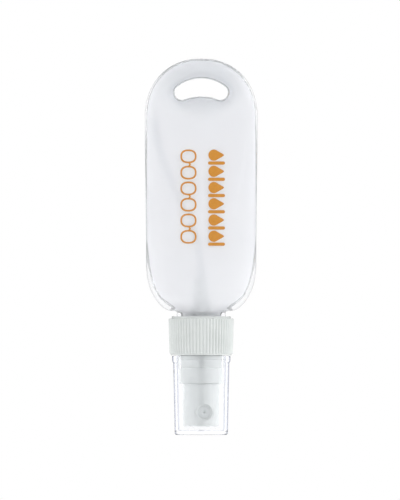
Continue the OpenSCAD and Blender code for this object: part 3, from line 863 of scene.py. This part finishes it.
def make_actuator():
    """A dished button on a skirt, with a socket for the stem, and a well and a pocket for the insert."""
    low, high = ACTUATOR_LOW.z, ACTUATOR_HIGH.z
    skirt_r = ACTUATOR_HIGH.x
    face_r = skirt_r - 0.15
    boss_r, boss_end, socket_z = 3.3, high - 1.1, low + 6.5
    obj = lathe("actuator_button", [
        (0, low + 0.35), (face_r * 0.45, low + 0.25, 1), (face_r * 0.78, low + 0.05, 1), (face_r, low, 0.7),
        (skirt_r, TURRET_LOW.z, 1), (skirt_r, high, 0.2), (skirt_r - 1, high, 0.2),
        (face_r - 1, low + 1.2, 0.4), (boss_r, low + 1.2, 0.4), (boss_r, boss_end, 0.2),
        (SOCKET_R, boss_end, 0.2), (SOCKET_R, socket_z, 0.1), (0, socket_z)],
        closed=False, segments=160, steps=5)
    across = nozzle_matrix()
    for name, r, start, end, fillet, operation in (
            ("boss", 3.6, 0.5, 6.4, 0, "UNION"),
            ("well", 3, 6.2, 8, 0.15, "DIFFERENCE"),
            ("pocket", 2.275, 3.9, 7, 0, "DIFFERENCE")):
        tool = plug(name, r, start, end, fillet)
        tool.data.transform(across)
        boolean(obj, tool, operation)
    boolean(obj, plug("bore", SOCKET_R, socket_z, boss_end + 1), "DIFFERENCE")
    soften(obj, 0.12)
    return place(obj, "actuator", "actuator", "white_plastic", WHITE)


def make_nozzle():
    """A cup pressed in the actuator's pocket, with the orifice and its flare in its end."""
    front, back = 6.15, 3.95
    outer_r, inner_r, flare_r, orifice_r = 2.25, 1.45, 0.85, 0.2
    obj = lathe("nozzle_insert_cup", [
        (orifice_r, front - 0.7), (inner_r, front - 0.7, 0.1), (inner_r, back, 0.1),
        (outer_r, back, 0.1), (outer_r, front, 0.15), (flare_r, front, 0.1),
        (orifice_r, front - 0.35, 0.05)], segments=64)
    obj.data.transform(nozzle_matrix())
    return place(obj, "actuator", "nozzle_insert", "cream_plastic", NOZZLE)


RIBS, RIB_DEPTH = 60, 0.4


def make_collar():
    """A ring with fine upright ribs, rounded in at both ends, and a flange at its lower end."""
    low, high = COLLAR_LOW.z, COLLAR_HIGH.z
    end_r, cap_r = COLLAR_HIGH.x, COLLAR_HIGH.x - 0.4
    grip_low, grip_high = low + 0.5, high - 0.8
    inner_r, hole_r, flange_t = 10.15, 7.75, 1.1

    def ribbed(r, z, angles):
        if r < cap_r - 1 or not grip_low - 0.01 < z < grip_high + 0.01:
            return np.full(len(angles), r)
        fade = clamp01(min(z - grip_low, grip_high - z) / 0.25) ** 0.5
        valley = (1 - np.abs(np.cos(angles * RIBS / 2))) ** 0.8
        return r - RIB_DEPTH * valley * fade - 0.3 * (1 - fade)

    grip = [(mix(cap_r, end_r, t), mix(grip_low, grip_high, t)) for t in
            (0, 0.01, 0.02, 0.2, 0.4, 0.6, 0.8, 0.98, 0.99, 1)]
    obj = lathe("collar_ribbed", [
        (hole_r, low, 0.1), (cap_r - 0.5, low, 0.3), (cap_r - 0.45, grip_low - 0.02), *grip,
        (end_r - 1.2, grip_high + 0.02, 0.1), (end_r - 1.2, high, 0.3), (inner_r, high, 0.2),
        (inner_r, low + flange_t, 0.2), (hole_r, low + flange_t, 0.1)],
        segments=RIBS * 12, shape=ribbed, sharp=50)
    return place(obj, "collar", "screw_collar", "white_plastic", COLLAR_SHADED_WHITE)


def make_spring(turns=8, wire=0.25, sides=12):
    """A coil with a closed dead turn at each end."""
    low, high = SPRING_LOW.z + wire, SPRING_HIGH.z - wire
    dead = 1 / turns
    t = np.linspace(0, 1, turns * 32 + 1)
    z = mix(low + 2 * wire, high - 2 * wire, clamp01((t - dead) / (1 - 2 * dead)))
    z = np.where(t < dead, low + 2 * wire * t / dead, z)
    z = np.where(t > 1 - dead, high - 2 * wire * (1 - t) / dead, z)
    a = 2 * np.pi * turns * t
    b = np.arange(sides) * 2 * np.pi / sides
    r = SPRING_HIGH.x - wire + wire * np.cos(b)
    verts = np.stack([
        r[None] * np.cos(a)[:, None], r[None] * np.sin(a)[:, None],
        z[:, None] + wire * np.sin(b)[None]], -1).reshape(-1, 3)
    faces = ring_faces(len(t), sides)
    faces.append(list(range(sides)))
    faces.append(list(range(len(verts) - sides, len(verts))))
    obj = new_object("spring_coil", verts, faces)
    outward(obj)
    place(obj, "pump", "return_spring", "spring_steel", STEEL)
    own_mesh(obj)
    return obj


def keep_cad(node, mat):
    """A CAD node whose shape stays, with a material that has detail."""
    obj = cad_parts[node]
    obj.data.materials.clear()
    obj.data.materials.append(mat)
    return obj


# ---- stage ----

LIGHT_LEVEL = 1.23                  # the glow that lights the pieces
LIGHT_SLOPE = (0.1, 0.12, -0.16)    # brighter from the right, from behind and from below
SIDE_LEVEL = 0.5                    # more glow from both sides
MIRRORED = 0.2                      # how much of the glow is mirrored by shiny pieces
STRIP_HALF = (0.12, 0.42)           # where the strip in the middle of the front starts to fade and ends
STRIP_LEVEL = 0.5                   # the glow left in it
FLOOR_HALF = 3.0                    # metres
FLOOR_ALPHA, FLOOR_GLOW, FLOOR_GREY, FLOOR_DARK = 0.4, 0.55, 0.45, 0.02
VIEW_HEIGHT = 185.5
CAMERA_AT = (-0.46, -800, 68.6)
LIGHTS = (                          # name, place and size in metres, and watts
    ("key", (0.45, -0.35, 0.45), (0.35, 0.5), 0.6),
    ("fill", (-0.6, -0.3, 0.25), (0.4, 0.5), 0.25),
    ("top", (0, 0.05, 0.8), (0.5, 0.5), 0.4),
)


def make_stage():
    """A pale glowing floor. The dark strip runs on over it, but only as shiny pieces mirror it."""
    half = FLOOR_HALF
    floor = bpy.data.meshes.new("floor")
    corners = [(-half, -half, 0), (half, -half, 0), (half, half, 0), (-half, half, 0)]
    floor.from_pydata(corners, [], [(0, 1, 2, 3)])
    obj = bpy.data.objects.new("floor", floor)
    bpy.context.collection.objects.link(obj)
    mat = bpy.data.materials.new("pale_floor")
    mat.use_nodes = True
    tree = mat.node_tree
    shader = tree.nodes["Principled BSDF"]
    direction = tree.nodes.new("ShaderNodeVectorMath")
    direction.operation = "NORMALIZE"
    link(tree, tree.nodes.new("ShaderNodeTexCoord").outputs["Object"], direction.inputs[0])
    split = tree.nodes.new("ShaderNodeSeparateXYZ")
    link(tree, direction.outputs["Vector"], split.inputs[0])
    rays = tree.nodes.new("ShaderNodeLightPath")
    direct = math_node(tree, "LESS_THAN", rays.outputs["Glossy Depth"], 0.5)
    level = math_node(tree, "MAXIMUM", strip_factor(tree, split), direct)
    grey = tint(tree, level, [FLOOR_DARK] * 3, [FLOOR_GREY] * 3)
    link(tree, grey, shader.inputs["Base Color"])
    shader.inputs["Roughness"].default_value = 0.8
    shader.inputs["Alpha"].default_value = FLOOR_ALPHA
    shader.inputs["Emission Color"].default_value = (1, 1, 1, 1)
    link(tree, math_node(tree, "MULTIPLY", level, FLOOR_GLOW), shader.inputs["Emission Strength"])
    floor.materials.append(mat)


def add_light(name, place_at, size, power):
    """A soft area light that faces the middle of the object."""
    data = bpy.data.lights.new(name, "AREA")
    data.shape = "RECTANGLE"
    data.size, data.size_y = size
    data.energy = power
    obj = bpy.data.objects.new(name, data)
    obj.location = place_at
    towards = Vector((0, 0, TOP_Z * MM / 2)) - Vector(place_at)
    obj.rotation_euler = towards.to_track_quat("-Z", "Y").to_euler()
    bpy.context.collection.objects.link(obj)


def math_node(tree, operation, first, second):
    """A Math node's output, from numbers or other outputs."""
    node = tree.nodes.new("ShaderNodeMath")
    node.operation = operation
    for socket, value in zip(node.inputs, (first, second)):
        if isinstance(value, (int, float)):
            socket.default_value = value
        else:
            link(tree, value, socket)
    return node.outputs[0]


def strip_factor(tree, split):
    """1 but for a dark upright strip in the middle of the front, from a direction's separate X, Y and Z."""
    strip = tree.nodes.new("ShaderNodeMapRange")
    strip.interpolation_type = "SMOOTHSTEP"
    strip.inputs["From Min"].default_value, strip.inputs["From Max"].default_value = STRIP_HALF
    strip.inputs["To Min"].default_value, strip.inputs["To Max"].default_value = STRIP_LEVEL, 1
    link(tree, math_node(tree, "ABSOLUTE", split.outputs["X"], 0), strip.inputs["Value"])
    behind = math_node(tree, "GREATER_THAN", split.outputs["Y"], 0)
    return math_node(tree, "MAXIMUM", strip.outputs["Result"], behind)


def make_world():
    """White where it is seen directly or through clear plastic. As a light it follows the numbers above:
    a slope, more from the sides, and a dark strip in the middle of the front."""
    world = bpy.data.worlds.new("studio")
    world.use_nodes = True
    world.cycles.sampling_method = "NONE"
    bpy.context.scene.world = world
    tree = world.node_tree
    background = tree.nodes["Background"]
    background.inputs["Color"].default_value = (1, 1, 1, 1)
    direction = tree.nodes.new("ShaderNodeTexCoord").outputs["Generated"]
    slope = tree.nodes.new("ShaderNodeVectorMath")
    slope.operation = "DOT_PRODUCT"
    slope.inputs[1].default_value = LIGHT_SLOPE
    link(tree, direction, slope.inputs[0])
    split = tree.nodes.new("ShaderNodeSeparateXYZ")
    link(tree, direction, split.inputs[0])
    glow = math_node(tree, "ADD", slope.outputs["Value"], LIGHT_LEVEL)
    sides = math_node(tree, "MULTIPLY", split.outputs["X"], split.outputs["X"])
    glow = math_node(tree, "ADD", glow, math_node(tree, "MULTIPLY", sides, SIDE_LEVEL))
    glow = math_node(tree, "MULTIPLY", glow, strip_factor(tree, split))
    rays = tree.nodes.new("ShaderNodeLightPath")
    glossy, through = rays.outputs["Is Glossy Ray"], rays.outputs["Is Transmission Ray"]
    reflected = math_node(tree, "MAXIMUM", math_node(tree, "SUBTRACT", glossy, through), 0)
    mirrored = math_node(tree, "MULTIPLY", reflected, 1 - MIRRORED)
    glow = math_node(tree, "MULTIPLY", glow, math_node(tree, "SUBTRACT", 1, mirrored))
    bounces = math_node(tree, "ADD", rays.outputs["Diffuse Depth"], rays.outputs["Glossy Depth"])
    seen = math_node(tree, "LESS_THAN", bounces, 0.5)
    lit = math_node(tree, "MULTIPLY", glow, math_node(tree, "SUBTRACT", 1, seen))
    strength = math_node(tree, "ADD", lit, seen)
    link(tree, strength, background.inputs["Strength"])


def make_camera():
    """Straight on to the printed front, as in the photograph."""
    data = bpy.data.cameras.new("camera")
    data.type = "ORTHO"
    data.ortho_scale = VIEW_HEIGHT * MM
    obj = bpy.data.objects.new("camera", data)
    obj.location = [c * MM for c in CAMERA_AT]
    obj.rotation_euler = (math.radians(90), 0, 0)
    bpy.context.collection.objects.link(obj)
    bpy.context.scene.camera = obj
    bpy.context.scene.view_settings.view_transform = "Standard"


make_camera()
make_world()
make_stage()
for light in LIGHTS:
    add_light(*light)

make_bottle()
make_spectacles()
make_drops()
make_overcap()
make_turret()
make_actuator()
make_nozzle()
make_collar()
make_spring()
for kept, kept_material in (
        ("pump_housing", NATURAL), ("neck_gasket", GASKET), ("stem", CREAM), ("piston", NATURAL),
        ("piston_seat", CREAM), ("ball_valve", BALL_STEEL), ("dip_tube", TUBE)):
    keep_cad(kept, kept_material)
